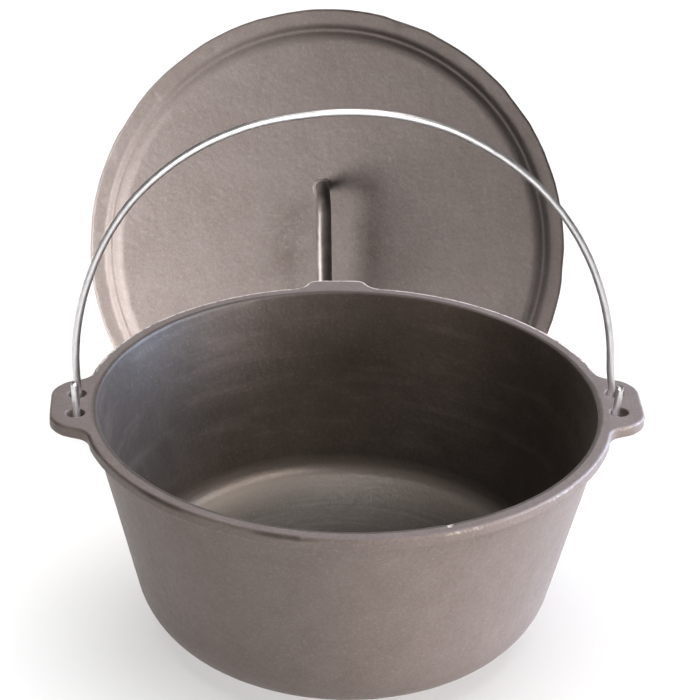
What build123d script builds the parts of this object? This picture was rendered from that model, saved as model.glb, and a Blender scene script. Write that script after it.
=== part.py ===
"""Cast iron dutch oven: pot with two bail ears, wire bail, and a loose lid with a loop handle.

Millimetres. Origin at the centre of the base, on the surface the pot stands on. +Z is up,
X runs through the two bail ears and +Y points to the rear tab. At rest the bail stands
upright, and the lid stands on its edge behind the pot, leaning back, handle side forward.
"""
from build123d import *
import os
from math import cos, hypot, pi, radians, sin, sqrt, tan

# ---- Driving dimensions ------------------------------------------------------------------

# Pot casting
pot_height = 141.0
rim_radius = 151.0  # outside of the rim lip
mouth_radius = 142.4  # inside edge of the rim
base_radius = 112.6  # where the wall's outer line would meet the base plane
wall_radius_at_lip = 145.4  # outside of the wall where the lip starts
base_corner_radius = 44.0
floor_thickness = 8.0
heel_height = 32.0  # where the inside of the wall turns into the dished bottom
heel_radius = 12.0
dish_slope = radians(35.0)
dish_radius = 100.0  # between the slope and the flat of the floor
lip_height = 7.0  # also the thickness of the ears and of the tab
lip_cove_radius = 4.0
mouth_edge_radius = 1.0
top_edge_radius = 1.6
lower_edge_radius = 1.2

# Bail ears and rear tab, both flush with the top of the rim
plate_root_reach = 132.0  # where their sketches start, inside the wall
plate_cut_radius = 144.0  # where they are cut back, inside the thickness of the wall
junction_radius = 5.0  # where an ear or the tab runs into the rim
ear_root_half_width = 32.5
ear_shoulder_reach = 158.0
ear_shoulder_half_width = 29.5
ear_shoulder_corner_radius = 18.0
ear_reach = 168.5
ear_tip_half_width = 18.5
ear_tip_corner_radius = 18.0
tab_root_half_width = 32.0
tab_reach = 160.0
tab_tip_half_width = 16.0
tab_corner_radius = 5.0
bail_hole_radius = 5.3
bail_hole_reach = 154.0
bail_hole_spacing = 23.0

# Bail
wire_radius = 2.2
leg_spacing = 21.0  # between the leg and the turned-up end, centre to centre
arch_spring_height = 20.0  # straight leg above the rim before the arch starts
left_stub_height = 19.0  # turned-up ends above the rim
right_stub_height = 16.0
stub_end_radius = 0.6

# Lid casting: heights from the underside of its flange
lid_radius = 151.0
lid_thickness = 5.0
flange_inner_radius = 141.0
step_radius = 138.0
step_height = 7.6
disc_root_radius = 136.4
disc_radius = 132.0
disc_height = 11.0
crown_height = 13.0
ring_outer_radius = 139.6
ring_inner_radius = 134.6
ring_depth = 4.0
hollow_radius = 127.0
hollow_corner_radius = 6.0
ring_edge_radius = 1.2
ring_root_radius = 1.0
flange_lower_edge_radius = 1.2
flange_upper_edge_radius = 1.8
flange_inner_corner_radius = 3.0
step_edge_radius = 1.0
disc_edge_radius = 9.0

# Lid handle
handle_half_span = 38.0
handle_offset = -4.5  # the handle stands a little to one side of the lid's centre
handle_rise = 31.0  # centre line of the grip above the lid's top
handle_bend_radius = 17.0
handle_foot_radius = 3.0
handle_grip_radius = 5.2
grip_sections = 17  # circles the grip is lofted through
foot_depth = 3.0  # how far each foot is set into the lid
foot_collar_radius = 5.4
foot_collar_height = 0.9
foot_collar_taper = 30  # degrees

# Where the lid stands at rest
lid_lean = radians(25.0)  # from upright
lid_shift = -3.0  # along X
lid_back = 216.0  # of the lid's centre, along Y

near = 0.1  # how close a face or an edge has to be to count as being at a height or a radius


def crown(radius, edge_radius, edge_height, middle_height):
    """Height at a radius of a shallow spherical crown, from its edge and middle heights."""
    rise = middle_height - edge_height
    sphere_radius = (edge_radius**2 + rise**2) / (2 * rise)
    return middle_height - sphere_radius + sqrt(sphere_radius**2 - radius**2)


def round_corners(section, corners):
    """Fillet the corners of a section, each given as (x, y, radius)."""
    for x, y, radius in corners:
        fillet(section.vertices().sort_by_distance((x, y))[0], radius=radius)


# ---- Pot ---------------------------------------------------------------------------------

lip_underside = pot_height - lip_height
draft = (wall_radius_at_lip - base_radius) / lip_underside
heel_reach = mouth_radius - draft * (pot_height - heel_height)
floor_reach = heel_reach - (heel_height - floor_thickness) / tan(dish_slope)
top_plane = Plane.XY.offset(pot_height)
lip_plane = Plane.XY.offset(lip_underside)

with BuildPart() as pot:
    with BuildSketch(Plane.XZ) as pot_section:
        with BuildLine():
            Polyline(
                (0, 0),
                (base_radius, 0),
                (wall_radius_at_lip, lip_underside),
                (rim_radius, lip_underside),
                (rim_radius, pot_height),
                (mouth_radius, pot_height),
                (heel_reach, heel_height),
                (floor_reach, floor_thickness),
                (0, floor_thickness),
                close=True,
            )
        make_face()
        round_corners(
            pot_section,
            [
                (base_radius, 0, base_corner_radius),
                (wall_radius_at_lip, lip_underside, lip_cove_radius),
                (mouth_radius, pot_height, mouth_edge_radius),
                (heel_reach, heel_height, heel_radius),
                (floor_reach, floor_thickness, dish_radius),
            ],
        )
    revolve(axis=Axis.Z)

    # Two ears and the rear tab, as plates as thick as the lip
    with BuildSketch(lip_plane) as plates:
        Polygon(
            (plate_root_reach, -ear_root_half_width),
            (ear_shoulder_reach, -ear_shoulder_half_width),
            (ear_reach, -ear_tip_half_width),
            (ear_reach, ear_tip_half_width),
            (ear_shoulder_reach, ear_shoulder_half_width),
            (plate_root_reach, ear_root_half_width),
            align=None,
        )
        round_corners(
            plates,
            [
                (reach, side * half_width, radius)
                for side in (-1, 1)
                for reach, half_width, radius in (
                    (ear_shoulder_reach, ear_shoulder_half_width, ear_shoulder_corner_radius),
                    (ear_reach, ear_tip_half_width, ear_tip_corner_radius),
                )
            ],
        )
        mirror(about=Plane.YZ)
        Polygon(
            (tab_root_half_width, plate_root_reach),
            (tab_tip_half_width, tab_reach),
            (-tab_tip_half_width, tab_reach),
            (-tab_root_half_width, plate_root_reach),
            align=None,
        )
        round_corners(
            plates, [(side * tab_tip_half_width, tab_reach, tab_corner_radius) for side in (-1, 1)]
        )
        Circle(plate_cut_radius, mode=Mode.SUBTRACT)
    extrude(amount=lip_height)

    # Soften the junctions first, then the outline's upper and lower edges
    junctions = pot.edges().filter_by(Axis.Z).filter_by(
        lambda edge: abs(hypot(edge.center().X, edge.center().Y) - rim_radius) < near
    )
    fillet(junctions, radius=junction_radius)
    fillet(pot.faces().sort_by(Axis.Z)[-1].outer_wire().edges(), radius=top_edge_radius)
    lip_faces = pot.faces().filter_by(Axis.Z).filter_by_position(
        Axis.Z, lip_underside - near, lip_underside + near
    )
    fillet(lip_faces.sort_by(SortBy.AREA)[-1].outer_wire().edges(), radius=lower_edge_radius)

    # Two holes in each ear for the bail
    with BuildSketch(top_plane):
        with GridLocations(2 * bail_hole_reach, bail_hole_spacing, 2, 2):
            Circle(bail_hole_radius)
    extrude(amount=-lip_height, mode=Mode.SUBTRACT)

# ---- Bail --------------------------------------------------------------------------------

hook_height = pot_height - lip_height / 2  # the hook turns about the middle of the ear
half_gap = leg_spacing / 2
spring_height = pot_height + arch_spring_height

with BuildPart() as bail:
    with BuildLine() as wire_path:
        for side, stub_height in ((-1, left_stub_height), (1, right_stub_height)):
            leg_x = side * bail_hole_reach
            Line((leg_x, -half_gap, pot_height + stub_height), (leg_x, -half_gap, hook_height))
            ThreePointArc(
                (leg_x, -half_gap, hook_height),
                (leg_x, 0, hook_height - half_gap),
                (leg_x, half_gap, hook_height),
            )
            Line((leg_x, half_gap, hook_height), (leg_x, half_gap, spring_height))
        ThreePointArc(
            (-bail_hole_reach, half_gap, spring_height),
            (0, half_gap, spring_height + bail_hole_reach),
            (bail_hole_reach, half_gap, spring_height),
        )
    with BuildSketch(Plane((-bail_hole_reach, -half_gap, pot_height + left_stub_height))):
        Circle(wire_radius)
    sweep(path=wire_path.wire())
    fillet(
        bail.edges().filter_by(GeomType.CIRCLE).filter_by_position(Axis.Y, -half_gap - wire_radius, 0),
        radius=stub_end_radius,
    )

# ---- Lid ---------------------------------------------------------------------------------

lid_up = Vector(0, sin(lid_lean), cos(lid_lean))
lid_out = Vector(0, -cos(lid_lean), sin(lid_lean))
lid_centre = Vector(lid_shift, lid_back, lid_radius * cos(lid_lean))
lid_plane = Plane(lid_centre, x_dir=(1, 0, 0), z_dir=lid_out)
lid_section_plane = Plane(lid_centre, x_dir=(1, 0, 0), z_dir=-lid_up)
hollow_height = disc_height - lid_thickness
hollow_crown_height = crown_height - lid_thickness
foot_height = crown(handle_half_span, disc_radius, disc_height, crown_height)
foot_places = [(handle_offset, side * handle_half_span) for side in (-1, 1)]

with BuildPart() as lid:
    with BuildSketch(lid_section_plane) as lid_section:
        with BuildLine():
            Polyline(
                (hollow_radius, hollow_height),
                (ring_inner_radius, 0),
                (ring_inner_radius, -ring_depth),
                (ring_outer_radius, -ring_depth),
                (ring_outer_radius, 0),
                (lid_radius, 0),
                (lid_radius, lid_thickness),
                (flange_inner_radius, lid_thickness),
                (step_radius, step_height),
                (disc_root_radius, step_height),
                (disc_radius, disc_height),
            )
            ThreePointArc(
                (disc_radius, disc_height),
                (disc_radius / 2, crown(disc_radius / 2, disc_radius, disc_height, crown_height)),
                (0, crown_height),
            )
            Line((0, crown_height), (0, hollow_crown_height))
            half_hollow = hollow_radius / 2
            ThreePointArc(
                (0, hollow_crown_height),
                (half_hollow, crown(half_hollow, hollow_radius, hollow_height, hollow_crown_height)),
                (hollow_radius, hollow_height),
            )
        make_face()
        round_corners(
            lid_section,
            [
                (hollow_radius, hollow_height, hollow_corner_radius),
                (ring_inner_radius, -ring_depth, ring_edge_radius),
                (ring_outer_radius, -ring_depth, ring_edge_radius),
                (ring_outer_radius, 0, ring_root_radius),
                (lid_radius, 0, flange_lower_edge_radius),
                (lid_radius, lid_thickness, flange_upper_edge_radius),
                (flange_inner_radius, lid_thickness, flange_inner_corner_radius),
                (step_radius, step_height, step_edge_radius),
                (disc_root_radius, step_height, step_edge_radius),
                (disc_radius, disc_height, disc_edge_radius),
            ],
        )
    revolve(axis=Axis(lid_centre, lid_out))
    with BuildSketch(lid_plane.offset(foot_height)):
        with Locations(*foot_places):
            Circle(foot_collar_radius)
    extrude(amount=foot_collar_height, taper=foot_collar_taper)
    with BuildSketch(lid_plane.offset(foot_height - foot_depth)):
        with Locations(*foot_places):
            Circle(handle_foot_radius)
    extrude(amount=foot_depth + foot_collar_height, mode=Mode.SUBTRACT)

# ---- Lid handle --------------------------------------------------------------------------

handle_plane = Plane(
    lid_plane.from_local_coords(Vector(handle_offset, 0, foot_height)), x_dir=lid_up, z_dir=(1, 0, 0)
)

with BuildPart() as lid_handle:
    with BuildLine(handle_plane) as handle_path:
        FilletPolyline(
            (-handle_half_span, 0),
            (-handle_half_span, handle_rise),
            (handle_half_span, handle_rise),
            (handle_half_span, 0),
            radius=handle_bend_radius,
        )
    for index in range(grip_sections):
        station = index / (grip_sections - 1)
        swell = (handle_grip_radius - handle_foot_radius) * sin(pi * station)
        with BuildSketch(Plane(handle_path.wire() ^ station)):
            Circle(handle_foot_radius + swell)
    loft()
    with BuildSketch(lid_plane.offset(foot_height - foot_depth)):
        with Locations(*foot_places):
            Circle(handle_foot_radius)
    extrude(amount=foot_depth)

# ---- Export ------------------------------------------------------------------------------

os.makedirs("parts", exist_ok=True)
pot.part.label = "pot"
bail.part.label = "bail"
lid.part.label = "lid"
lid_handle.part.label = "lid_handle"
for piece in (pot, bail, lid, lid_handle):
    export_step(piece.part, f"parts/{piece.part.label}.step")
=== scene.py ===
from math import cos, pi, radians, sin, tan

import bpy
import numpy as np
from mathutils import Matrix, Vector


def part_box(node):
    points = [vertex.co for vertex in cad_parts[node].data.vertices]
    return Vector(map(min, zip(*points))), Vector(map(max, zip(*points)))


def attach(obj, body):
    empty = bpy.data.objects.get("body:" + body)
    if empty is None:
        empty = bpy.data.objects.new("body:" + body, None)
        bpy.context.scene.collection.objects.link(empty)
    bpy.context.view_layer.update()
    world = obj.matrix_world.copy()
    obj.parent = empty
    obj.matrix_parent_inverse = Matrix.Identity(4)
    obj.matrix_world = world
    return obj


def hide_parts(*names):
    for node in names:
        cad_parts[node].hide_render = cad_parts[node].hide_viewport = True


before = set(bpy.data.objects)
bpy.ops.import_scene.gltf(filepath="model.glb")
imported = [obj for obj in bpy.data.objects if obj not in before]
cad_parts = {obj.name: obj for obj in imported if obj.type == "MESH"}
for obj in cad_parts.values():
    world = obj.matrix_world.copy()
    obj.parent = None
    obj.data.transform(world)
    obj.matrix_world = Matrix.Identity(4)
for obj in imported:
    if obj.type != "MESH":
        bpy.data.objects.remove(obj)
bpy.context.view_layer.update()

# Lengths are millimetres, and new_mesh() writes them as metres. The object's repeat the CAD
# model's driving dimensions, because the frame gives boxes and not profiles. Distances in the
# materials and places of the lights and the camera are metres.

MM = 0.001

# ---- Sizes shared with the CAD model --------------------------------------------------------

POT_HEIGHT = 141.0
RIM_RADIUS = 151.0
MOUTH_RADIUS = 142.4
BASE_RADIUS = 112.6
WALL_RADIUS_AT_LIP = 145.4
BASE_CORNER = 44.0
FLOOR_THICKNESS = 8.0
HEEL_HEIGHT = 32.0
HEEL_RADIUS = 12.0
DISH_SLOPE = radians(35.0)
DISH_RADIUS = 100.0
LIP_HEIGHT = 7.0
LIP_COVE = 4.0
MOUTH_EDGE = 1.0
TOP_EDGE = 1.6
LOWER_EDGE = 1.2
WALL_DRAFT = (WALL_RADIUS_AT_LIP - BASE_RADIUS) / (POT_HEIGHT - LIP_HEIGHT)

EAR = [(126.0, 33.2), (158.0, 29.5), (168.5, 18.5)]  # one side of the ear's outline
TAB = [(132.0, 32.0), (160.0, 16.0)]  # the same for the rear tab
EAR_CORNER = 17.0
TAB_CORNER = 8.0
EAR_JUNCTION = 12.0
TAB_JUNCTION = 7.0
HOLE_RADIUS = 5.3
HOLE_REACH = 154.0
HOLE_SPACING = 23.0
HOLE_FLARE = 0.8

WIRE_RADIUS = 2.2
LEG_SPACING = 21.0
ARCH_SPRING = 20.0
STUB_HEIGHTS = {-1: 19.0, 1: 16.0}

LID_RADIUS = 151.0
LID_LEAN = radians(25.0)
LID_CENTRE = np.array([-3.0, 216.0, LID_RADIUS * cos(LID_LEAN)])
LID_AXES = np.array([  # right, up along the lid's face, and out of its face
    [1, 0, 0], [0, sin(LID_LEAN), cos(LID_LEAN)], [0, -cos(LID_LEAN), sin(LID_LEAN)],
])
DISC_RADIUS = 132.0
DISC_HEIGHT = 11.0
CROWN_HEIGHT = 13.0
LID_THICKNESS = 5.0
HOLLOW_RADIUS = 127.0
RING_INNER = 134.6
RING_OUTER = 139.6
RING_DEPTH = 4.0
STEP_FOOT = 141.0
LEDGE_OUTER = 138.0
LEDGE_INNER = 136.4
LEDGE_HEIGHT = 7.6
LID_PROFILE = [  # (radius, height, corner) from the hollow underneath, round the edge to the disc
    (HOLLOW_RADIUS, DISC_HEIGHT - LID_THICKNESS, 6.0), (RING_INNER, 0, 1.5),
    (RING_INNER, -RING_DEPTH, 1.2), (RING_OUTER, -RING_DEPTH, 1.2), (RING_OUTER, 0, 1.0),
    (LID_RADIUS, 0, 1.2), (LID_RADIUS, LID_THICKNESS, 1.8), (STEP_FOOT, LID_THICKNESS, 4.5),
    (LEDGE_OUTER, LEDGE_HEIGHT, 2.0), (LEDGE_INNER, LEDGE_HEIGHT, 2.0),
    (DISC_RADIUS, DISC_HEIGHT, 9.0),
]
HANDLE_HALF_SPAN = 38.0
HANDLE_OFFSET = -4.5
HANDLE_RISE = 31.0
HANDLE_BEND = 17.0
HANDLE_FOOT = 3.0
HANDLE_GRIP = 5.2
FOOT_DEPTH = 2.4  # of the handle's feet in the lid, as drawn
HANDLE_SIDES = 40
WIRE_SIDES = 24


# ---- Noise ----------------------------------------------------------------------------------

def lattice_noise(points, wavelength, seed):
    """Smooth value noise from -1 to 1 at the points, repeatable for a seed."""
    p = points / wavelength + seed * 17.31
    cell = np.floor(p).astype(np.int64)
    part = p - cell
    part = part * part * (3 - 2 * part)
    total = np.zeros(len(points))
    for dx in (0, 1):
        for dy in (0, 1):
            for dz in (0, 1):
                corner = cell + (dx, dy, dz)
                mixed = corner[:, 0] * 73856093 ^ corner[:, 1] * 19349663 ^ corner[:, 2] * 83492791
                mixed = (mixed ^ (mixed >> 13)) * 1274126177 & 0x7FFFFFFF
                value = ((mixed ^ (mixed >> 16)) & 0xFFFF) / 32767.5 - 1
                weight = np.ones(len(points))
                for axis, step in enumerate((dx, dy, dz)):
                    weight *= part[:, axis] if step else 1 - part[:, axis]
                total += weight * value
    return total


def cast_skin(points, seed, amount=1.0):
    """Height of an as-cast skin over the true surface: slow waves, sand pebbling, fine grain."""
    waves = 0.16 * lattice_noise(points, 34, seed) + 0.07 * lattice_noise(points, 13, seed + 1)
    pebbles = 0.045 * lattice_noise(points, 4.2, seed + 2) + 0.03 * lattice_noise(points, 2.1, seed + 3)
    return amount * (waves + pebbles)


def dents(points, marks):
    """Sum of round marks, each (centre, radius, height); a negative height is a pit."""
    height = np.zeros(len(points))
    for centre, radius, size in marks:
        away = ((points - np.array(centre)) ** 2).sum(1) / radius**2
        near = away < 6
        height[near] += size * np.exp(-away[near] * 1.6)
    return height


# ---- Meshes ---------------------------------------------------------------------------------

def grid_faces(rows, columns):
    """Quads of a grid whose columns wrap round."""
    faces = []
    for i in range(rows - 1):
        a = i * columns
        b = a + columns
        for j in range(columns):
            k = (j + 1) % columns
            faces.append((a + j, a + k, b + k, b + j))
    return faces


def new_mesh(name, points, faces):
    """A smooth-shaded object from millimetre points."""
    mesh = bpy.data.meshes.new(name)
    mesh.from_pydata((np.asarray(points) * MM).tolist(), [], faces)
    mesh.validate()
    mesh.polygons.foreach_set("use_smooth", [True] * len(mesh.polygons))
    obj = bpy.data.objects.new(name, mesh)
    bpy.context.collection.objects.link(obj)
    return obj


def read_points(obj):
    values = np.empty(len(obj.data.vertices) * 3)
    obj.data.vertices.foreach_get("co", values)
    return values.reshape(-1, 3) / MM


def read_normals(obj):
    values = np.empty(len(obj.data.vertices) * 3)
    obj.data.vertices.foreach_get("normal", values)
    return values.reshape(-1, 3)


def write_points(obj, points, node):
    """Moves the vertices, kept inside the CAD node's box."""
    low, high = (np.array(corner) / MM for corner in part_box(node))
    obj.data.vertices.foreach_set("co", (np.clip(points, low, high) * MM).ravel())
    obj.data.update()


def line(start, end, step):
    """Points along a straight run at about that step, its last point left out."""
    count = max(1, round(np.hypot(end[0] - start[0], end[1] - start[1]) / step))
    start, end = np.array(start), np.array(end)
    return [tuple(start + (end - start) * i / count) for i in range(count)]


def rounded_run(corners, step, arc_step):
    """Points along a 2-D polyline of (x, y, corner radius), with its inner corners rounded."""
    points = []
    last = np.array(corners[0][:2], float)
    for i in range(1, len(corners) - 1):
        before, here, after = (np.array(corners[k][:2], float) for k in (i - 1, i, i + 1))
        back = (before - here) / np.linalg.norm(before - here)
        on = (after - here) / np.linalg.norm(after - here)
        half = np.arccos(np.clip(back @ on, -1, 1)) / 2
        radius = corners[i][2]
        start, end = here + back * radius / tan(half), here + on * radius / tan(half)
        centre = here + (back + on) / np.linalg.norm(back + on) * radius / sin(half)
        points += line(last, start, step)
        first = np.arctan2(*(start - centre)[::-1])
        turn = (np.arctan2(*(end - centre)[::-1]) - first + pi) % (2 * pi) - pi
        count = max(3, round(abs(turn) * radius / arc_step))
        for t in first + turn * np.arange(count) / count:
            points.append((centre[0] + radius * cos(t), centre[1] + radius * sin(t)))
        last = end
    return points + line(last, corners[-1][:2], step) + [tuple(corners[-1][:2])]


def polygon_distance(points, corners):
    """Signed distance from 2-D points to a closed polygon, negative inside."""
    corners = np.array(corners, float)
    best = np.full(len(points), 1e9)
    inside = np.ones(len(points), bool)
    for a, b in zip(corners, np.roll(corners, -1, axis=0)):
        edge = b - a
        away = points - a
        along = np.clip(away @ edge / (edge @ edge), 0, 1)
        best = np.minimum(best, np.hypot(*(away - along[:, None] * edge).T))
        inside &= edge[0] * away[:, 1] - edge[1] * away[:, 0] >= 0
    return np.where(inside, -best, best)


def smooth_union(a, b, width):
    """Union of two signed distances with a fillet of about this width between them."""
    mix = np.clip(0.5 + 0.5 * (b - a) / width, 0, 1)
    return b + (a - b) * mix - width * mix * (1 - mix) * 0.5


def inset_polygon(corners, amount):
    """The corners of a counter-clockwise polygon with each side moved inwards."""
    corners = np.array(corners, float)
    moved = []
    for a, b, c in zip(np.roll(corners, 1, axis=0), corners, np.roll(corners, -1, axis=0)):
        back, on = (a - b) / np.linalg.norm(a - b), (c - b) / np.linalg.norm(c - b)
        half = np.arccos(back @ on) / 2
        moved.append(b + (back + on) / np.linalg.norm(back + on) * amount / sin(half))
    return np.array(moved)


def smooth_step(low, high, value):
    t = np.clip((value - low) / (high - low), 0, 1)
    return t * t * (3 - 2 * t)


def set_tone(obj, name, values):
    """Stores one number per vertex for the materials to read."""
    layer = obj.data.attributes.new(name, "FLOAT", "POINT")
    layer.data.foreach_set("value", np.asarray(values, dtype=np.float32))


# ---- Pot ------------------------------------------------------------------------------------

POT_COLUMNS = 760
POT_STEP = 1.6  # between rows on the walls
ARC_STEP = 0.4  # between rows on the mouth's edge and the heel
RIM_CHIP = (-70.5, 144.0, POT_HEIGHT)  # degrees, distance out and height
CHIP_RADIUS = 2.4
CHIP_DEPTH = 1.1
LIP_EDGE_HEIGHT = 139.6  # middle of the band where the lip's outer edge is rough
LIP_EDGE_SPREAD = 1.6
LIP_ROUGHNESS = (0.07, 0.16)  # everywhere, and more in patches
GLINT_STRENGTH = 0.42
LIP_SHADE_STRENGTH = 1.3
REAR_HIGHLIGHT_STRENGTH = 1.6
REAR_HIGHLIGHT_INSET = 1.3  # of the painted highlight line at the rear from the rim's outline
REAR_HIGHLIGHT_WIDTH = 0.75
WALL_MARKS = [  # (degrees, height, radius, size) on the outside; a negative size is a pit
    (-102, 140.0, 2.0, 0.8), (-104.5, 139.0, 1.4, -0.5), (-99.9, 130.0, 1.3, 0.6),
    (-98.9, 128.0, 1.0, -0.7), (-101, 133.0, 1.2, -0.5), (-106.4, 103.3, 1.0, -0.5),
    (-82.5, 139.5, 1.0, 0.5), (-84, 139.8, 0.8, 0.4), (-79.4, 139.4, 0.9, 0.5),
    (-87, 118.0, 0.9, 0.4), (-71, 116.0, 1.0, 0.45), (-66, 98.0, 1.0, 0.4),
    (-112, 84.0, 1.1, -0.35), (-118, 139.5, 1.5, -0.5), (-60, 128.0, 1.2, 0.35),
    (-50, 70.0, 1.0, 0.35), (-125, 112.0, 1.2, -0.35), (-93, 60.0, 1.0, -0.3),
]


def plate_distance(points):
    """Signed distance to the rim's outline with its ears and tab."""
    distance = np.hypot(points[:, 0], points[:, 1]) - RIM_RADIUS
    ear = EAR + [(x, -y) for x, y in reversed(EAR)]
    tab = [(y, x) for x, y in TAB] + [(-y, x) for x, y in reversed(TAB)]
    shapes = [
        (ear[::-1], EAR_CORNER, EAR_JUNCTION),
        ([(-x, y) for x, y in ear], EAR_CORNER, EAR_JUNCTION),
        (tab, TAB_CORNER, TAB_JUNCTION),
    ]
    for corners, corner, junction in shapes:
        plate = polygon_distance(points, inset_polygon(corners, corner)) - corner
        distance = smooth_union(distance, plate, junction)
    return distance


def rim_outline():
    """The rim's outline at even spacing, and its outward directions."""
    turns = np.linspace(0, 2 * pi, 6000, endpoint=False)
    rays = np.stack([np.cos(turns), np.sin(turns)], 1)
    low, high = np.full(len(turns), 140.0), np.full(len(turns), 176.0)
    for _ in range(30):
        middle = (low + high) / 2
        inside = plate_distance(rays * middle[:, None]) < 0
        low, high = np.where(inside, middle, low), np.where(inside, high, middle)
    dense = rays * low[:, None]
    closed = np.vstack([dense, dense[:1]])
    length = np.concatenate([[0], np.cumsum(np.hypot(*np.diff(closed, axis=0).T))])
    wanted = np.arange(POT_COLUMNS) * length[-1] / POT_COLUMNS
    outline = np.stack([np.interp(wanted, length, closed[:, k]) for k in (0, 1)], 1)
    along = np.roll(outline, -1, axis=0) - np.roll(outline, 1, axis=0)
    outward = np.stack([along[:, 1], -along[:, 0]], 1) / np.hypot(*along.T)[:, None]
    return outline, outward


def ring_row(angles, radius, height):
    return np.stack([radius * np.cos(angles), radius * np.sin(angles), np.full(len(angles), height)], 1)


def flat_row(points, height):
    return np.column_stack([points, np.full(len(points), height)])


def column_angles(outline, depth):
    """Column angles that follow the outline at the rim and even out further down."""
    at_lip = np.unwrap(np.arctan2(outline[:, 1], outline[:, 0]))
    even = at_lip[0] + np.arange(POT_COLUMNS) * 2 * pi / POT_COLUMNS
    share = smooth_step(0, 60, depth)
    return at_lip * (1 - share) + even * share


def outside_rows(outline):
    """Rings from the base's centre up the wall to the lip's underside."""
    underside = POT_HEIGHT - LIP_HEIGHT
    run = rounded_run([
        (1.0, 0, 0), (BASE_RADIUS, 0, BASE_CORNER), (WALL_RADIUS_AT_LIP, underside, LIP_COVE),
        (WALL_RADIUS_AT_LIP + 5, underside, 0),
    ], POT_STEP, POT_STEP)
    cove_end = next(i for i, (_, z) in enumerate(run) if z >= underside - 1e-6)
    rows = [ring_row(column_angles(outline, underside - z), r, z) for r, z in run[:cove_end + 1]]
    return rows[:1] + rows[8:]  # fewer rings on the flat of the base


def lip_edge_rows(outline, outward):
    """Rings up the lip's edge, and how many of them come before its rounded top."""
    underside = POT_HEIGHT - LIP_HEIGHT
    rows = []
    for t in np.linspace(-pi / 2, 0, 5):
        edge = outline - outward * LOWER_EDGE * (1 - cos(t))
        rows.append(flat_row(edge, underside + LOWER_EDGE * (1 + sin(t))))
    for z in np.linspace(underside + LOWER_EDGE, POT_HEIGHT - TOP_EDGE, 5)[1:-1]:
        rows.append(flat_row(outline, z))
    below_top = len(rows)
    for t in np.linspace(0, pi / 2, 7):
        edge = outline - outward * TOP_EDGE * (1 - cos(t))
        rows.append(flat_row(edge, POT_HEIGHT - TOP_EDGE * (1 - sin(t))))
    return rows, below_top


def inside_rows(outline):
    """Rings from the mouth's edge down the inside to the bottom's centre."""
    heel_reach = MOUTH_RADIUS - WALL_DRAFT * (POT_HEIGHT - HEEL_HEIGHT)
    floor_reach = heel_reach - (HEEL_HEIGHT - FLOOR_THICKNESS) / tan(DISH_SLOPE)
    run = rounded_run([
        (MOUTH_RADIUS + 2, POT_HEIGHT, 0), (MOUTH_RADIUS, POT_HEIGHT, MOUTH_EDGE),
        (heel_reach, HEEL_HEIGHT, HEEL_RADIUS), (floor_reach, FLOOR_THICKNESS, DISH_RADIUS),
        (1.0, FLOOR_THICKNESS, 0),
    ], POT_STEP, ARC_STEP)
    run = [p for i, p in enumerate(run) if p[1] > HEEL_HEIGHT - 8 or i % 4 == 0]
    return [ring_row(column_angles(outline, POT_HEIGHT - z + 6), r, z) for r, z in run]


def rows_between(start, end, height, count):
    """Flat rings that join two others, which aren't repeated."""
    start, end = start[:, :2], end[:, :2]
    return [flat_row(start + (end - start) * f, height) for f in np.linspace(0, 1, count + 2)[1:-1]]


def pot_rows():
    """All rings of the pot, and the places of the lip's rounded top and of the inside in them."""
    outline, outward = rim_outline()
    rows = outside_rows(outline)
    edge_rows, below_top = lip_edge_rows(outline, outward)
    rows += rows_between(rows[-1], edge_rows[0], POT_HEIGHT - LIP_HEIGHT, 7)
    top_edge = len(rows) + below_top
    rows += edge_rows
    inner = inside_rows(outline)
    rows += rows_between(rows[-1], inner[0], POT_HEIGHT, 13)
    return rows + inner, top_edge, len(rows)


def closed_grid(rows):
    """Faces of rings joined in order, with a fan at each end."""
    columns = len(rows[0])
    points = np.vstack(rows + [rows[0].mean(0)[None], rows[-1].mean(0)[None]])
    faces = grid_faces(len(rows), columns)
    last = (len(rows) - 1) * columns
    for j in range(columns):
        k = (j + 1) % columns
        faces.append((j, len(points) - 2, k))
        faces.append((last + k, len(points) - 1, last + j))
    return points, faces


def bail_hole_cutter(x, y):
    """A spool that cuts one bail hole and leaves its edges softened."""
    top, bottom = POT_HEIGHT, POT_HEIGHT - LIP_HEIGHT
    half = [(HOLE_RADIUS + HOLE_FLARE + 1.6, 2.2)] + [
        (HOLE_RADIUS + HOLE_FLARE * (1 - cos(t)), -HOLE_FLARE * (1 - sin(t)) + 0.15)
        for t in (1.15, 0.8, 0.4, 0)
    ]
    profile = [(r, top + z) for r, z in half] + [(r, bottom - z) for r, z in reversed(half)]
    turns = np.linspace(0, 2 * pi, 48, endpoint=False)
    rows = [ring_row(turns, r, z) + (x, y, 0) for r, z in reversed(profile)]
    points, faces = closed_grid(rows)
    return new_mesh("cutter", points, faces)


def cut_away(obj, cutters):
    """Takes the cutters out of a mesh for good."""
    for cutter in cutters:
        change = obj.modifiers.new("cut", "BOOLEAN")
        change.operation, change.solver, change.object = "DIFFERENCE", "EXACT", cutter
    result = bpy.data.meshes.new_from_object(obj.evaluated_get(bpy.context.evaluated_depsgraph_get()))
    obj.modifiers.clear()
    obj.data = result
    for cutter in cutters:
        bpy.data.objects.remove(cutter)


def on_circle(degrees, reach, height):
    return reach * cos(radians(degrees)), reach * sin(radians(degrees)), height


def wall_marks():
    """The pot's lumps and pits as places, radii and heights."""
    marks = []
    for degrees, z, radius, size in WALL_MARKS:
        below_lip = POT_HEIGHT - LIP_HEIGHT - z
        reach = RIM_RADIUS if below_lip < 0 else WALL_RADIUS_AT_LIP - WALL_DRAFT * below_lip
        marks.append((on_circle(degrees, reach, z), radius, size))
    return marks + [(on_circle(*RIM_CHIP), CHIP_RADIUS, -CHIP_DEPTH)]


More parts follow.
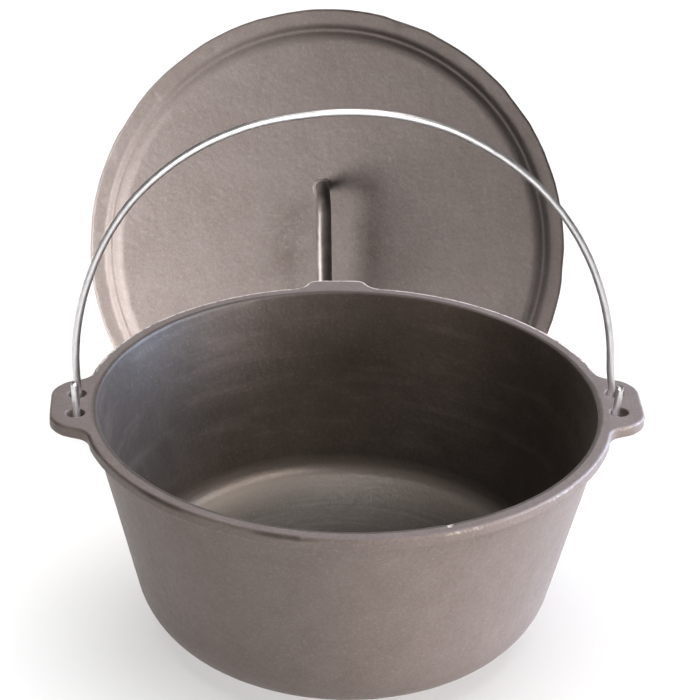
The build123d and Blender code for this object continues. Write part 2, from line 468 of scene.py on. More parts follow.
def pot_skin(points, lip_edge, patchy):
    """Height of the pot's skin over its true surface."""
    wall = smooth_step(20, 50, points[:, 2]) * smooth_step(136, 128, points[:, 2])
    height = cast_skin(points, 3, 1.0) * (0.35 + 0.65 * wall)
    ragged = 0.7 * lattice_noise(points, 5.5, 10) + 0.6 * lattice_noise(points, 2.6, 11)
    height += lip_edge * (LIP_ROUGHNESS[0] + LIP_ROUGHNESS[1] * patchy) * ragged
    return height + dents(points, wall_marks())


def rear_rim_highlight(points, rows, top_edge):
    """A painted highlight: a light line along the rim's top edge at the rear."""
    outline = np.vstack([np.tile(rim_outline()[0], (len(rows), 1)), np.zeros((2, 2))])
    inset = np.linalg.norm(points[:, :2] - outline, axis=1)
    inset[:top_edge * POT_COLUMNS] = RIM_RADIUS
    line = np.exp(-((inset - REAR_HIGHLIGHT_INSET) / REAR_HIGHLIGHT_WIDTH) ** 2)
    return REAR_HIGHLIGHT_STRENGTH * line * smooth_step(15, 60, points[:, 1])


def pot_casting():
    rows, top_edge, first_inside = pot_rows()
    obj = new_mesh("pot_casting", *closed_grid(rows))
    points, normals = read_points(obj), read_normals(obj)
    radius, turn = np.hypot(points[:, 0], points[:, 1]), np.arctan2(points[:, 1], points[:, 0])
    inside = np.zeros(len(points))
    inside[first_inside * POT_COLUMNS:] = 1
    inside[-2], inside[-1] = 0, 1
    # The lip's outer edge was left rough by the mould, most of all in patches
    lip_edge = np.exp(-((points[:, 2] - LIP_EDGE_HEIGHT) / LIP_EDGE_SPREAD) ** 2)
    lip_edge = lip_edge * (radius > RIM_RADIUS - 2.2) * (1 - inside)
    patchy = smooth_step(-0.5, 0.6, lattice_noise(points, 26, 9))

    points += normals * pot_skin(points, lip_edge, patchy)[:, None]
    # Painted highlight: light specks along the lip's edge at the front right, on the side towards the
    # light.
    painted_glints = GLINT_STRENGTH * lip_edge * patchy * smooth_step(-1.7, -1.2, turn) * (turn < 0)
    # Painted shade: a dark band along the lip's edge at the front left, on the side away from the
    # light.
    lip_shade = LIP_SHADE_STRENGTH * lip_edge * patchy * smooth_step(-1.6, -1.9, turn) * (turn > -2.9)
    chip = dents(points, [(on_circle(*RIM_CHIP), 2.6, 1.3)])
    set_tone(obj, "inside", inside)
    # Exposed iron at the chip is real wear; the line along the rear edge and the front-right specks are
    # painted highlights.
    set_tone(obj, "bare_and_highlight", chip + rear_rim_highlight(points, rows, top_edge) + painted_glints)
    set_tone(obj, "lip_shade", lip_shade)
    write_points(obj, points, "pot")
    cut_away(obj, [
        bail_hole_cutter(x, y)
        for x in (-HOLE_REACH, HOLE_REACH) for y in (-HOLE_SPACING / 2, HOLE_SPACING / 2)
    ])
    return obj


# ---- Lid ------------------------------------------------------------------------------------

LID_COLUMNS = 640
LID_STEP = 1.7
GROUND_FLATS = [  # where the flange's edge was dressed: (degrees, depth)
    (71, 0.7), (60, 0.35), (37, 0.5), (20, 0.35),
    (103, 0.3), (129, 0.35), (147, 0.45), (176, 0.4),
    (-4, 0.35), (-27, 0.3), (204, 0.35),
]
FACE_MARKS = [  # on the lid's face: (degrees, distance out, radius, size)
    (139, 145.7, 1.1, -0.7), (145, 146.7, 1.3, -0.6), (141.5, 147.4, 0.8, -0.5),
    (120, 145.1, 1.2, -0.6), (116, 146.5, 0.9, -0.5), (151, 146.4, 0.9, -0.5),
    (158, 147.0, 1.2, -0.5), (133, 148.0, 0.9, -0.5), (169, 146.0, 1.5, -0.5),
    (72, 148.5, 2.4, -0.8), (71, 146.2, 1.0, 0.5), (96, 147.5, 0.9, -0.4),
    (44, 146.5, 1.0, -0.5), (27, 147.0, 1.2, -0.5), (12, 146.0, 0.9, -0.4),
    (14, 92.6, 1.3, 0.55), (50, 41.4, 1.2, 0.5), (104, 63.0, 1.0, 0.35),
    (152, 76.0, 1.1, 0.4), (171, 101.0, 0.9, -0.35), (33, 117.0, 1.0, 0.35),
    (-12, 64.0, 1.0, 0.35), (122, 98.0, 0.9, -0.3), (84, 88.0, 1.0, 0.3),
    (66, 72.0, 0.8, -0.35), (-22, 104.0, 1.1, 0.35), (190, 58.0, 1.0, 0.35),
]
FOOT_PITS = [(-6.6, 41.5, 1.5, -0.8), (-1.6, 43.0, 1.2, -0.5), (-7.6, -40.0, 1.4, -0.6)]
STAINS = [  # on the lid's face: (right, up, half width, half height, strength)
    (-28, 2, 17, 30, 1.0), (-12, 22, 9, 14, 0.6), (25, 4, 12, 30, 0.7), (8, 30, 10, 18, 0.4),
    (46, -12, 22, 20, 0.35),
]
CROWN_STARTS = 9.0  # height from which the profile belongs to the domed disc
GROOVE_RADIUS = 136.6
GROOVE_WIDTH = 1.2
GROOVE_SHADE = 0.35
COLLAR_STAIN = 0.25
COLLAR_PROFILE = [  # (radius, height) round a foot of the handle
    (1.5, -1.5), (7.4, -1.5), (6.9, -0.4), (6.0, 0.02), (5.2, 0.34), (4.6, 0.52), (4.1, 0.56),
    (3.6, 0.4), (2.8, 0.1), (1.5, 0.0),
]


def crown(radius, edge_radius):
    """Height of the shallow dome over its edge at a radius."""
    if radius >= edge_radius:
        return 0.0
    return (CROWN_HEIGHT - DISC_HEIGHT) * (1 - (radius / edge_radius) ** 2)


def face_height(radius):
    """Height of the lid's face at a radius within the disc."""
    return DISC_HEIGHT + crown(radius, DISC_RADIUS)


def lid_edge(turns):
    """Outside radius of the flange at each angle, with its ground flats."""
    edge = np.full(len(turns), LID_RADIUS)
    for degrees, depth in GROUND_FLATS:
        away = (turns - radians(degrees) + pi) % (2 * pi) - pi
        near = np.abs(away) < 0.3
        edge[near] = np.minimum(edge[near], (LID_RADIUS - depth) / np.cos(away[near]))
    circle = np.stack([np.cos(turns), np.sin(turns), np.zeros(len(turns))], 1) * LID_RADIUS
    return edge - 0.2 - 0.14 * lattice_noise(circle, 11, 61) - 0.09 * lattice_noise(circle, 4.5, 62)


def lid_to_world(points):
    return LID_CENTRE + points @ LID_AXES


def foot_collar(place):
    """The lip of iron round one end of the lid's handle, in the lid's own directions."""
    turns = np.linspace(0, 2 * pi, 72, endpoint=False)
    uneven = 0.97 + 0.12 * np.sin(turns * 2 + place) + 0.06 * np.sin(turns * 3 + 1)
    rows = []
    for r, z in COLLAR_PROFILE:
        reach = r * uneven if r > 3.6 else r
        height = z * (1 + 0.5 * np.sin(turns + 0.2)) if z > 0 else z
        row = ring_row(turns, reach, face_height(HANDLE_HALF_SPAN) + height)
        rows.append(row + (HANDLE_OFFSET, place, 0))
    return closed_grid(rows)


def lid_rows():
    """Rings from the underside's centre, round the flange's edge, to the middle of the face."""
    turns = np.linspace(0, 2 * pi, LID_COLUMNS, endpoint=False)
    edge = lid_edge(turns)
    profile = [(1.0, DISC_HEIGHT - LID_THICKNESS, 0)] + LID_PROFILE + [(1.0, DISC_HEIGHT, 0)]
    rows = []
    for r, z in rounded_run(profile, LID_STEP, 0.45):
        if z > CROWN_STARTS:
            z += crown(r, DISC_RADIUS)
        elif r < HOLLOW_RADIUS:
            z += crown(r, HOLLOW_RADIUS)
        pull = float(smooth_step(142, LID_RADIUS, r))
        rows.append(ring_row(turns, r + (edge - LID_RADIUS) * pull, z))
    return rows


def face_marks():
    """The lumps and pits of the lid's face as places, radii and heights."""
    marks = []
    for degrees, reach, radius, size in FACE_MARKS:
        z = LID_THICKNESS if reach > DISC_RADIUS else face_height(reach)
        marks.append((on_circle(degrees, reach, z), radius, size))
    return marks + [((x, y, CROWN_HEIGHT - 0.2), radius, size) for x, y, radius, size in FOOT_PITS]


def lid_skin(points, radius, face):
    """Height of the lid's skin over its true surface."""
    height = cast_skin(points, 21, 0.9)
    flange = smooth_step(140, 143, radius) * face
    height += flange * (0.12 * lattice_noise(points, 7, 33) + 0.07 * lattice_noise(points, 2.6, 34))
    return height + dents(points, face_marks()) * face


def lid_stain(points):
    """Strength of the oil stains beside the handle."""
    stain_and_shade = np.zeros(len(points))
    for x, y, wide, tall, amount in STAINS:
        away = ((points[:, 0] - x) / wide) ** 2 + ((points[:, 1] - y) / tall) ** 2
        stain_and_shade += amount * np.exp(-away * 1.2)
    stain_and_shade *= 0.75 + 0.45 * lattice_noise(points, 9, 41) + 0.3 * lattice_noise(points, 3.3, 42)
    return np.clip(stain_and_shade, 0, 1.3)


def lid_casting():
    obj = new_mesh("lid_casting", *closed_grid(lid_rows()))
    points, normals = read_points(obj), read_normals(obj)
    radius = np.hypot(points[:, 0], points[:, 1])
    face = points[:, 2] > LID_THICKNESS - 0.5
    points += normals * lid_skin(points, radius, face)[:, None]
    # Painted shade: a dark line in the groove round the disc.
    groove = np.exp(-((radius - GROOVE_RADIUS) / GROOVE_WIDTH) ** 2) * face
    set_tone(obj, "stain_and_shade", lid_stain(points) * face + GROOVE_SHADE * groove)
    write_points(obj, lid_to_world(points), "lid")

    collars = [new_mesh("collar", *foot_collar(side * HANDLE_HALF_SPAN)) for side in (-1, 1)]
    for collar in collars:
        shaped = read_points(collar)
        shaped += read_normals(collar) * (0.1 * lattice_noise(shaped, 1.8, 51))[:, None]
        write_points(collar, lid_to_world(shaped), "lid")
        set_tone(collar, "stain_and_shade", np.full(len(shaped), COLLAR_STAIN))
    join(obj, collars)
    return obj


def join(obj, others):
    """Merges other meshes into an object."""
    chosen = [obj] + others
    with bpy.context.temp_override(
        active_object=obj, object=obj, selected_objects=chosen, selected_editable_objects=chosen
    ):
        bpy.ops.object.join()


# ---- Handle and bail ------------------------------------------------------------------------

def tube(path, radii, sides):
    """Rings round a 3-D path, carried along without twist."""
    path = np.asarray(path, float)
    along = np.gradient(path, axis=0)
    along /= np.linalg.norm(along, axis=1)[:, None]
    across = np.cross(along[0], (1, 0, 0) if abs(along[0][0]) < 0.9 else (0, 1, 0))
    turns = np.linspace(0, 2 * pi, sides, endpoint=False)
    rows = []
    for point, forward, radius in zip(path, along, radii):
        across = across - forward * (across @ forward)
        across /= np.linalg.norm(across)
        up = np.cross(forward, across)
        rows.append(point + radius * (np.cos(turns)[:, None] * across + np.sin(turns)[:, None] * up))
    return rows


def run_lengths(path):
    """Distance along a path at each of its points."""
    return np.concatenate([[0], np.cumsum(np.linalg.norm(np.diff(path, axis=0), axis=1))])


def lid_loop():
    span, rise, step = HANDLE_HALF_SPAN, HANDLE_RISE, 0.9
    run = rounded_run([
        (-span, -FOOT_DEPTH, 0), (-span, rise, HANDLE_BEND),
        (span, rise, HANDLE_BEND), (span, -FOOT_DEPTH, 0),
    ], step, step)
    path = np.array([(HANDLE_OFFSET, y, face_height(span) + z) for y, z in run])
    length = run_lengths(path)
    station = length / length[-1]
    radii = HANDLE_FOOT + (HANDLE_GRIP - HANDLE_FOOT) * np.sin(pi * station)
    path[:, 0] += 0.25 * np.sin(station * 7) * np.sin(pi * station)
    obj = new_mesh("lid_loop", *closed_grid(tube(path, radii - 0.08, HANDLE_SIDES)))
    points = read_points(obj)
    skin = 0.09 * lattice_noise(points, 11, 71) + 0.03 * lattice_noise(points, 3, 72)
    points += read_normals(obj) * skin[:, None]
    write_points(obj, lid_to_world(points), "lid_handle")
    return obj


BAIL_DRIFT = [  # how far the hand-bent arch strays from a true one: (degrees from the right, outwards)
    (0, -3.8), (10, -4.6), (20, -4.9), (30, -4.5), (40, -3.8), (50, -2.9), (60, -2.2), (70, -0.9),
    (80, -0.5), (90, -0.4), (100, 0.0), (110, 1.7), (120, 2.9), (130, 3.4), (140, 3.4), (150, 2.2),
    (160, 0.9), (170, 0.3), (180, 0.1),
]
HOOK_DRIFTS = {-1: -0.8, 1: -1.6}  # both hooks ride towards the inner side of their holes
STUB_LEANS = {-1: 0.8, 1: 1.0}  # outwards, over the turned-up end's height


def hook_path(side):
    """One end of the wire from the tip of its turned-up end, round the hook and up the leg."""
    gap, hook, spring = LEG_SPACING / 2, POT_HEIGHT - LIP_HEIGHT / 2, POT_HEIGHT + ARCH_SPRING
    tip = POT_HEIGHT + STUB_HEIGHTS[side]
    low, lean = HOOK_DRIFTS[side], STUB_LEANS[side]
    high = BAIL_DRIFT[0][1] if side > 0 else BAIL_DRIFT[-1][1]
    drifts = [(low + lean * smooth_step(POT_HEIGHT - 2, tip, z), -gap, z)
              for z in np.arange(tip, hook, -1.0)]
    drifts += [(low, -gap * cos(t), hook - gap * sin(t)) for t in np.linspace(0, pi, 34)]
    drifts += [(low + (high - low) * smooth_step(POT_HEIGHT, spring, z), gap, z)
               for z in np.arange(hook + 1, spring, 1.0)]
    return [(side * (HOLE_REACH + float(drift)), y, z) for drift, y, z in drifts]


def bail_path():
    """The wire's centre line: left hook and leg, the arch, then the right leg and hook."""
    spring = POT_HEIGHT + ARCH_SPRING
    arch = []
    for degrees in np.arange(180, -0.1, -0.5):
        r = HOLE_REACH + np.interp(degrees, *np.array(BAIL_DRIFT).T)
        arch.append((r * cos(radians(degrees)), LEG_SPACING / 2, spring + r * sin(radians(degrees))))
    return np.array(hook_path(-1) + arch + hook_path(1)[::-1])


def smoothed(path, passes):
    path = path.copy()
    for _ in range(passes):
        path[1:-1] += 0.5 * ((path[:-2] + path[2:]) / 2 - path[1:-1])
    return path


def bail_wire():
    path = smoothed(bail_path(), 14)
    length = run_lengths(path)
    from_end = np.minimum(length, length[-1] - length)
    ends = np.sqrt(np.clip(1 - (1 - np.clip(from_end / 0.9, 0, 1)) ** 2, 0.45, 1))
    rows = tube(path, (WIRE_RADIUS - 0.02) * ends, WIRE_SIDES)
    obj = new_mesh("bail_wire", *closed_grid(rows))
    points = read_points(obj)
    turns = np.tile(np.linspace(0, 2 * pi, WIRE_SIDES, endpoint=False), len(rows))
    tones = {
        "wire_across": np.cos(turns), "wire_round": np.sin(turns),
        "wire_along": np.repeat(length, WIRE_SIDES),
    }
    for name, values in tones.items():
        set_tone(obj, name, np.concatenate([values, [0, values[-1]]]))
    skin = 0.035 * lattice_noise(points, 9, 81) + 0.02 * lattice_noise(points, 2.2, 82)
    points += read_normals(obj) * (skin - 0.03)[:, None]
    write_points(obj, points, "bail")
    return obj


# ---- Materials ------------------------------------------------------------------------------

# Linear colours; where there are two, patches run from the first to the second.
POT_OUTSIDE = ((0.122, 0.098, 0.088), (0.152, 0.126, 0.117))
POT_WALL = ((0.039, 0.030, 0.025), (0.070, 0.057, 0.047))
POT_BOTTOM = ((0.034, 0.028, 0.024), (0.048, 0.040, 0.034))
HEEL_HIGHLIGHT = (0.185, 0.160, 0.142)
SCOURING = (0.19, 0.165, 0.145)
BARE_IRON_AND_HIGHLIGHT = (0.52, 0.47, 0.43)
LIP_SHADE_COLOUR = (0.030, 0.023, 0.019)
LIGHT_GRAIN = (0.34, 0.31, 0.29)
DARK_PORE = (0.04, 0.034, 0.030)
LID_FACE = ((0.136, 0.111, 0.102), (0.170, 0.144, 0.136))
STAIN_AND_SHADE_COLOUR = (0.070, 0.053, 0.044)
WORN_HANDLE = ((0.046, 0.038, 0.034), (0.088, 0.073, 0.065))
ZINC = ((0.68, 0.66, 0.67), (0.82, 0.80, 0.80))
ZINC_SPANGLE = (0.60, 0.61, 0.64)
WIRE_DIRT = (0.30, 0.27, 0.25)
FLOOR_WHITE = ((0.90, 0.90, 0.90), (0.915, 0.913, 0.91))


class Shader:
    """Builds one material's nodes, joined up by short calls."""

    def __init__(self, name):
        self.material = bpy.data.materials.new(name)
        self.material.use_nodes = True
        self.tree = self.material.node_tree
        self.tree.nodes.clear()
        coords = self.tree.nodes.new("ShaderNodeTexCoord")
        self.place = coords.outputs["Object"]

    def node(self, kind, settings=None, **inputs):
        made = self.tree.nodes.new(kind)
        for name, value in (settings or {}).items():
            setattr(made, name, value)
        for name, value in inputs.items():
            self.feed(made.inputs[name.replace("_", " ")], value)
        return made

    def feed(self, socket, value):
        if isinstance(value, bpy.types.NodeSocket):
            self.tree.links.new(value, socket)
        else:
            socket.default_value = value

    def noise(self, scale, detail, rough, place=None):
        made = self.node("ShaderNodeTexNoise", Vector=place or self.place, Scale=scale,
                         Detail=detail, Roughness=rough)
        return made.outputs[0]

    def attribute(self, name):
        return self.node("ShaderNodeAttribute", {"attribute_name": name}).outputs["Fac"]

    def math(self, operation, a, b=0.0, clamp=False):
        made = self.node("ShaderNodeMath", {"operation": operation, "use_clamp": clamp})
        self.feed(made.inputs[0], a)
        self.feed(made.inputs[1], b)
        return made.outputs[0]

    def span(self, value, low, high, to_low=0.0, to_high=1.0):
        """Maps a number from one range to another, held at the ends."""
        made = self.node("ShaderNodeMapRange", Value=value, From_Min=low, From_Max=high,
                         To_Min=to_low, To_Max=to_high)
        return made.outputs[0]

    def mix(self, share, a, b):
        """Blends from a to b, each a colour or a socket."""
        made = self.node("ShaderNodeMix", {"data_type": "RGBA"})
        self.feed(made.inputs[0], share)
        self.feed(made.inputs[6], a if isinstance(a, bpy.types.NodeSocket) else (*a, 1))
        self.feed(made.inputs[7], b if isinstance(b, bpy.types.NodeSocket) else (*b, 1))
        return made.outputs[2]

    def bumps(self, *layers):
        """Stacks bump layers, each (height, distance in metres, strength)."""
        normal = None
        for height, distance, strength in layers:
            made = self.node("ShaderNodeBump", Height=height, Distance=distance, Strength=strength)
            if normal:
                self.feed(made.inputs["Normal"], normal)
            normal = made.outputs[0]
        return normal

    def patches(self, broad, fine):
        """Uneven tone of a casting, from two sizes of noise."""
        broad, fine = self.noise(broad, 4, 0.6), self.noise(fine, 5, 0.6)
        return self.math("ADD", self.math("MULTIPLY", broad, 0.55), self.math("MULTIPLY", fine, 0.45))

    def swirl(self):
        """Faint rings round the vertical axis, as left by scouring."""
        flat = self.node("ShaderNodeVectorMath", {"operation": "MULTIPLY"})
        self.feed(flat.inputs[0], self.place)
        self.feed(flat.inputs[1], (1, 1, 0))
        reach = self.node("ShaderNodeVectorMath", {"operation": "LENGTH"})
        self.feed(reach.inputs[0], flat.outputs[0])
        turn = self.node("ShaderNodeVectorMath", {"operation": "NORMALIZE"})
        self.feed(turn.inputs[0], flat.outputs[0])
        parts = self.node("ShaderNodeSeparateXYZ", Vector=turn.outputs[0])
        rings = self.math("MULTIPLY", reach.outputs["Value"], 260)
        place = self.node("ShaderNodeCombineXYZ", X=parts.outputs[0], Y=parts.outputs[1], Z=rings)
        return self.noise(1.6, 4, 0.6, place=place.outputs[0])

    def speckle(self, colour, grain, amount):
        """Light grains and dark pores over a colour."""
        light = self.math("MULTIPLY", self.span(grain, 0.54, 0.72), amount)
        dark = self.math("MULTIPLY", self.span(grain, 0.45, 0.30), amount)
        return self.mix(dark, self.mix(light, colour, LIGHT_GRAIN), DARK_PORE)

    def finish(self, **inputs):
        shader = self.node("ShaderNodeBsdfPrincipled", **inputs)
        self.node("ShaderNodeOutputMaterial", Surface=shader.outputs[0])
        return self.material


def pot_material():
    """Bare grey-brown casting outside; darker, oiled and smoother inside."""
    s = Shader("pot_iron")
    inside = s.attribute("inside")
    patch = s.patches(11, 70)
    grain = s.noise(640, 4, 0.6)
    pebble = s.noise(330, 3, 0.5)
    outer = s.mix(s.span(patch, 0.34, 0.66), *POT_OUTSIDE)
    height = s.node("ShaderNodeSeparateXYZ", Vector=s.place).outputs[2]
    wall = s.mix(s.span(patch, 0.30, 0.70), *POT_WALL)
    bottom = s.mix(s.span(patch, 0.30, 0.70), *POT_BOTTOM)
    inner = s.mix(s.span(height, 0.050, 0.030), wall, bottom)
    # Painted highlight: a lighter ring at the heel that stands in for the highlight along it.
    heel = s.math("MINIMUM", s.span(height, 0.019, 0.028), s.span(height, 0.042, 0.032))
    inner = s.mix(s.math("MULTIPLY", heel, 0.75), inner, HEEL_HIGHLIGHT)
    inner = s.mix(s.math("MULTIPLY", s.span(s.swirl(), 0.52, 0.68), 0.16), inner, SCOURING)
    colour = s.speckle(s.mix(inside, outer, inner), grain, s.span(inside, 0, 1, 0.20, 0.10))
    # Exposed iron at the chip, and painted highlights along the rim's rear edge and the lip's front
    # right.
    wear_and_highlight = s.math("MULTIPLY", s.attribute("bare_and_highlight"), s.span(pebble, 0.35, 0.65, 0.3, 1.2))
    wear_and_highlight = s.span(wear_and_highlight, 0.25, 0.9)
    colour = s.mix(wear_and_highlight, colour, BARE_IRON_AND_HIGHLIGHT)
    # Painted shade along the lip's edge at the front left.
    lip_shade = s.math("MULTIPLY", s.attribute("lip_shade"), s.span(patch, 0.35, 0.6, 0.4, 1.2))
    lip_shade = s.span(lip_shade, 0.3, 0.9, 0, 0.75)
    colour = s.mix(lip_shade, colour, LIP_SHADE_COLOUR)
    rough = s.span(s.math("ADD", pebble, s.math("MULTIPLY", grain, 0.5)), 0.5, 1.0, 0.47, 0.58)
    rough = s.math("SUBTRACT", rough, s.math("MULTIPLY", inside, 0.10))
    rim = s.span(height, (POT_HEIGHT - 1.0) * MM, (POT_HEIGHT - 0.4) * MM)
    rough = s.math("ADD", rough, s.math("MULTIPLY", rim, 0.18))
    normal = s.bumps((patch, 0.0006, 0.25), (pebble, 0.00035, 0.40), (grain, 0.0002, 0.35))
    return s.finish(Base_Color=colour, Metallic=0.25, Roughness=rough,
                    Specular_IOR_Level=0.5, Normal=normal)


def lid_material():
    """Grey-brown casting with a sandy skin, oil stains beside the handle, and painted shade in the
    groove round the disc.
    """
    s = Shader("lid_iron")
    stain_and_shade = s.attribute("stain_and_shade")
    patch = s.patches(10, 60)
    grain = s.noise(600, 4, 0.6)
    pebble = s.noise(290, 3, 0.55)
    colour = s.mix(s.span(patch, 0.34, 0.66), *LID_FACE)
    # Oil stains beside the handle, and painted shade in the groove round the disc.
    colour = s.mix(s.math("MULTIPLY", stain_and_shade, 0.60, clamp=True), colour, STAIN_AND_SHADE_COLOUR)
    colour = s.speckle(colour, grain, 0.20)
    rough = s.span(s.math("ADD", pebble, s.math("MULTIPLY", grain, 0.5)), 0.5, 1.0, 0.52, 0.66)
    normal = s.bumps((patch, 0.0006, 0.25), (pebble, 0.00045, 0.48), (grain, 0.00022, 0.40))
    return s.finish(Base_Color=colour, Metallic=0.2, Roughness=rough,
                    Specular_IOR_Level=0.4, Normal=normal)


def handle_material():
    """Worn smooth and almost black."""
    s = Shader("handle_iron")
    mottle = s.noise(120, 4, 0.6)
    grain = s.noise(900, 3, 0.6)
    colour = s.mix(s.span(mottle, 0.38, 0.62), *WORN_HANDLE)
    rough = s.span(s.math("ADD", mottle, s.math("MULTIPLY", grain, 0.4)), 0.45, 0.95, 0.30, 0.44)
    normal = s.bumps((mottle, 0.0004, 0.2), (grain, 0.00012, 0.25))
    return s.finish(Base_Color=colour, Metallic=0.35, Roughness=rough,
                    Specular_IOR_Level=0.55, Normal=normal)


def wire_material():
    """Bright galvanised wire with draw lines and soft spangle."""
    s = Shader("bail_wire")
    place = s.node("ShaderNodeCombineXYZ", X=s.attribute("wire_across"), Y=s.attribute("wire_round"),
                   Z=s.math("MULTIPLY", s.attribute("wire_along"), 0.02)).outputs[0]
    lines = s.noise(7, 4, 0.6, place=place)
    spangle = s.node("ShaderNodeTexVoronoi", Vector=s.place, Scale=420).outputs["Color"]
    spangle = s.node("ShaderNodeSeparateColor", Color=spangle).outputs[0]
    dirt = s.noise(55, 4, 0.6)
    colour = s.mix(s.span(lines, 0.35, 0.65), *ZINC)
    colour = s.mix(s.math("MULTIPLY", spangle, 0.20), colour, ZINC_SPANGLE)
    colour = s.mix(s.span(dirt, 0.60, 0.78, 0.0, 0.45), colour, WIRE_DIRT)
    rough = s.span(s.math("ADD", lines, s.math("MULTIPLY", spangle, 0.4)), 0.4, 1.1, 0.32, 0.48)
    normal = s.bumps((lines, 0.0001, 0.25), (dirt, 0.0002, 0.15))
    return s.finish(Base_Color=colour, Metallic=0.95, Roughness=rough, Normal=normal)


def floor_material():
    s = Shader("studio_floor")
    tone = s.mix(s.span(s.noise(3, 2, 0.5), 0.4, 0.6), *FLOOR_WHITE)
    return s.finish(Base_Color=tone, Roughness=0.75, Specular_IOR_Level=0.15)


def backdrop_material():
    s = Shader("studio_backdrop")
    return s.finish(Base_Color=(0, 0, 0, 1), Specular_IOR_Level=0.0, Roughness=1.0,
                    Emission_Color=(1, 1, 1, 1), Emission_Strength=1.0)


# ---- Build ----------------------------------------------------------------------------------

def dress(obj, body, node, material):
    """Ties a piece to its CAD body and node, and gives it its material."""
    obj.data.materials.clear()
    obj.data.materials.append(material)
    obj.data.polygons.foreach_set("material_index", [0] * len(obj.data.polygons))
    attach(obj, body)
    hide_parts(node)
    return obj


pot = dress(pot_casting(), "pot", "pot", pot_material())
lid = dress(lid_casting(), "lid", "lid", lid_material())
loop = dress(lid_loop(), "lid", "lid_handle", handle_material())
wire = dress(bail_wire(), "bail", "bail", wire_material())


# ---- Studio ---------------------------------------------------------------------------------

FLOOR_SIZE = 3200.0
BACKDROP_REACH = 7000.0
BACKDROP_DROP = 1.0  # of the far floor under the near one
FAR_FLOOR_RINGS = 8
DOME_RINGS = 16
BACKDROP_SIDES = 64
CAMERA_DISTANCE = 1.593
CAMERA_ELEVATION = radians(28.33)
CAMERA_AZIMUTH = radians(3.2)
CAMERA_ROLL = radians(1.45)
CAMERA_LENS = 144.0
CAMERA_SENSOR = 36.0
CAMERA_SHIFT = (0.0033, 0.075)
CAMERA_AIM = (0, 0, (POT_HEIGHT + 0.2) * MM)
WORLD_STRENGTH = 0.08
POT_AIM = (0, 0.05, 0.1)
LID_AIM = (0, 0.2, 0.15)
WIRE_AIM = (0, 0, 0.25)
LIGHTS = [  # (name, place, size, power, colour); the name starts with the group that it lights
    ("pot_front_right", (0.70, -0.65, 0.94), (0.5, 0.5), 9, (1, 0.90, 0.84)),
    ("pot_sky", (1.22, 0.38, 0.43), (0.8, 0.8), 50, (0.54, 0.70, 1)),
    ("pot_back_right", (0.39, 0.44, 1.28), (0.5, 0.5), 3, (1, 0.99, 0.94)),
    ("pot_low_front", (1.12, -0.60, 0.05), (0.8, 0.8), 25, (1, 0.91, 0.87)),
    ("pot_right", (1.00, 0.05, 0.94), (0.5, 0.5), 8, (1, 0.91, 0.86)),
    ("pot_top", (0.00, 0.05, 1.40), (0.5, 0.5), 4.8, (1, 0.99, 0.96)),
    ("pot_back_left", (-0.39, 0.44, 1.28), (0.5, 0.5), 1.2, (1, 0.86, 0.82)),
    ("pot_left_fill", (-0.9, -0.9, 0.3), (0.8, 0.8), 3, (1, 0.78, 0.62)),
    ("pot_low_fill", (0.1, -1.3, 0.12), (1.0, 0.4), 3, (1, 0.95, 0.92)),
    ("lid_key", (-0.50, -0.17, 0.20), (0.35, 0.35), 12, (1, 0.975, 0.96)),
    ("lid_side", (-1.30, 0.05, 0.10), (0.8, 0.8), 5, (0.85, 0.9, 1)),
    ("lid_front", (-0.3, -1.1, 0.9), (0.6, 0.6), 0.5, (1, 0.9, 0.9)),
    ("wire_front", (-0.1, -1.2, 0.75), (0.9, 0.6), 30, (1, 0.98, 0.96)),
    ("wire_top", (0.1, 0.1, 1.4), (0.5, 0.5), 5, (1, 0.97, 0.92)),
    ("pot_back", (-0.6, 1.3, 0.3), (0.8, 0.8), 10, (1, 0.97, 0.94)),
    ("lid_right", (1.0, -0.5, 0.6), (0.6, 0.6), 0.3, (1, 0.95, 0.9)),
    ("lid_back", (0.5, 1.5, 0.7), (0.8, 0.8), 14, (1, 0.97, 0.94)),
]


def studio_floor():
    mesh = bpy.data.meshes.new("studio_floor")
    half = FLOOR_SIZE / 2 * MM
    corners = [(-half, -half, 0), (half, -half, 0), (half, half, 0), (-half, half, 0)]
    mesh.from_pydata(corners, [], [(0, 1, 2, 3)])
    floor = bpy.data.objects.new("studio_floor", mesh)
    bpy.context.collection.objects.link(floor)
    mesh.materials.append(floor_material())
    return floor


def studio_backdrop():
    """A white dome and far floor that only the camera sees, so it throws no light on the object."""
    arc = np.linspace(0, pi / 2, DOME_RINGS + 1)[:-1]
    flat = np.linspace(0.1, 1, FAR_FLOOR_RINGS + 1)[:-1]
    reach = np.concatenate([flat, np.cos(arc)]) * BACKDROP_REACH
    height = np.concatenate([np.full(FAR_FLOOR_RINGS, -BACKDROP_DROP), np.sin(arc) * BACKDROP_REACH])
    turns = np.linspace(0, 2 * pi, BACKDROP_SIDES, endpoint=False)
    rows = [ring_row(turns, r, z) for r, z in zip(reach, height)]
    backdrop = new_mesh("studio_backdrop", *closed_grid(rows))
    backdrop.data.materials.append(backdrop_material())
    for kind in ("diffuse", "glossy", "transmission", "shadow"):
        setattr(backdrop, "visible_" + kind, False)


def light_group(name, objects):
    group = bpy.data.collections.new(name)
    for obj in objects:
        group.objects.link(obj)
    return group


def soft_light(name, position, target, size, power, colour, group):
    """A rectangular area light aimed at a point, which lights and is blocked by one group only."""
    data = bpy.data.lights.new(name, "AREA")
    data.shape, data.size = "RECTANGLE", size[0]
    data.size_y, data.energy, data.color = size[1], power, colour
    light = bpy.data.objects.new(name, data)
    light.location = position
    light.rotation_euler = (Vector(target) - Vector(position)).to_track_quat("-Z", "Y").to_euler()
    bpy.context.collection.objects.link(light)
    light.light_linking.receiver_collection = group
    light.light_linking.blocker_collection = group
    light.visible_camera = False


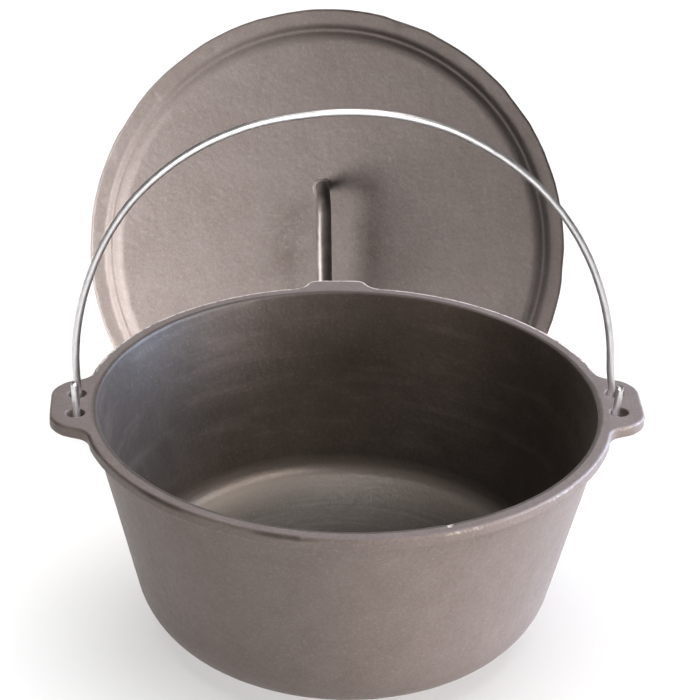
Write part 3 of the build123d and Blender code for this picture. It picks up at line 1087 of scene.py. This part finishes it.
def soft_sun(name, lean, strength, spread, group, shadow=True):
    """A broad light from overhead, leaning by angles about X and Y."""
    data = bpy.data.lights.new(name, "SUN")
    data.energy, data.angle, data.use_shadow = strength, spread, shadow
    sun = bpy.data.objects.new(name, data)
    sun.rotation_euler = (*lean, 0)
    bpy.context.collection.objects.link(sun)
    sun.light_linking.receiver_collection = group


def studio_world():
    world = bpy.data.worlds.new("studio_world")
    world.use_nodes = True
    backdrop = world.node_tree.nodes["Background"]
    backdrop.inputs["Color"].default_value = (0.95, 0.97, 1.0, 1)
    backdrop.inputs["Strength"].default_value = WORLD_STRENGTH
    bpy.context.scene.world = world


def studio_camera():
    """A long lens looking down at the pot from a little to its left."""
    elevation, azimuth, roll = CAMERA_ELEVATION, CAMERA_AZIMUTH, CAMERA_ROLL
    back = Vector((-sin(azimuth) * cos(elevation), -cos(azimuth) * cos(elevation), sin(elevation)))
    right = Vector((cos(azimuth), -sin(azimuth), 0))
    up = back.cross(right)
    tilted_right = cos(roll) * right + sin(roll) * up
    tilted_up = cos(roll) * up - sin(roll) * right
    place = Vector(CAMERA_AIM) + back * CAMERA_DISTANCE
    rows = [(*row, place[k]) for k, row in enumerate(zip(tilted_right, tilted_up, back))]
    camera = bpy.data.objects.new("camera", bpy.data.cameras.new("camera"))
    camera.matrix_world = Matrix(rows + [(0, 0, 0, 1)])
    camera.data.lens, camera.data.sensor_width = CAMERA_LENS, CAMERA_SENSOR
    camera.data.shift_x, camera.data.shift_y = CAMERA_SHIFT
    bpy.context.collection.objects.link(camera)
    bpy.context.scene.camera = camera


floor = studio_floor()
studio_backdrop()
groups = {
    "pot": (light_group("lit_with_pot", [pot]), POT_AIM),
    "lid": (light_group("lit_with_lid", [lid, loop]), LID_AIM),
    "wire": (light_group("lit_with_wire", [wire]), WIRE_AIM),
}
floor_group = light_group("lit_with_floor", [floor])
for name, place, size, power, colour in LIGHTS:
    group, aim = groups[name.split("_")[0]]
    soft_light(name, place, aim, size, power, colour, group)
soft_sun("floor_sun", (radians(-5), radians(3)), 1.9, radians(60), floor_group)
soft_sun("floor_fill", (0, 0), 1.7, 0, floor_group, shadow=False)
studio_world()
studio_camera()
bpy.context.scene.view_settings.view_transform = "Standard"
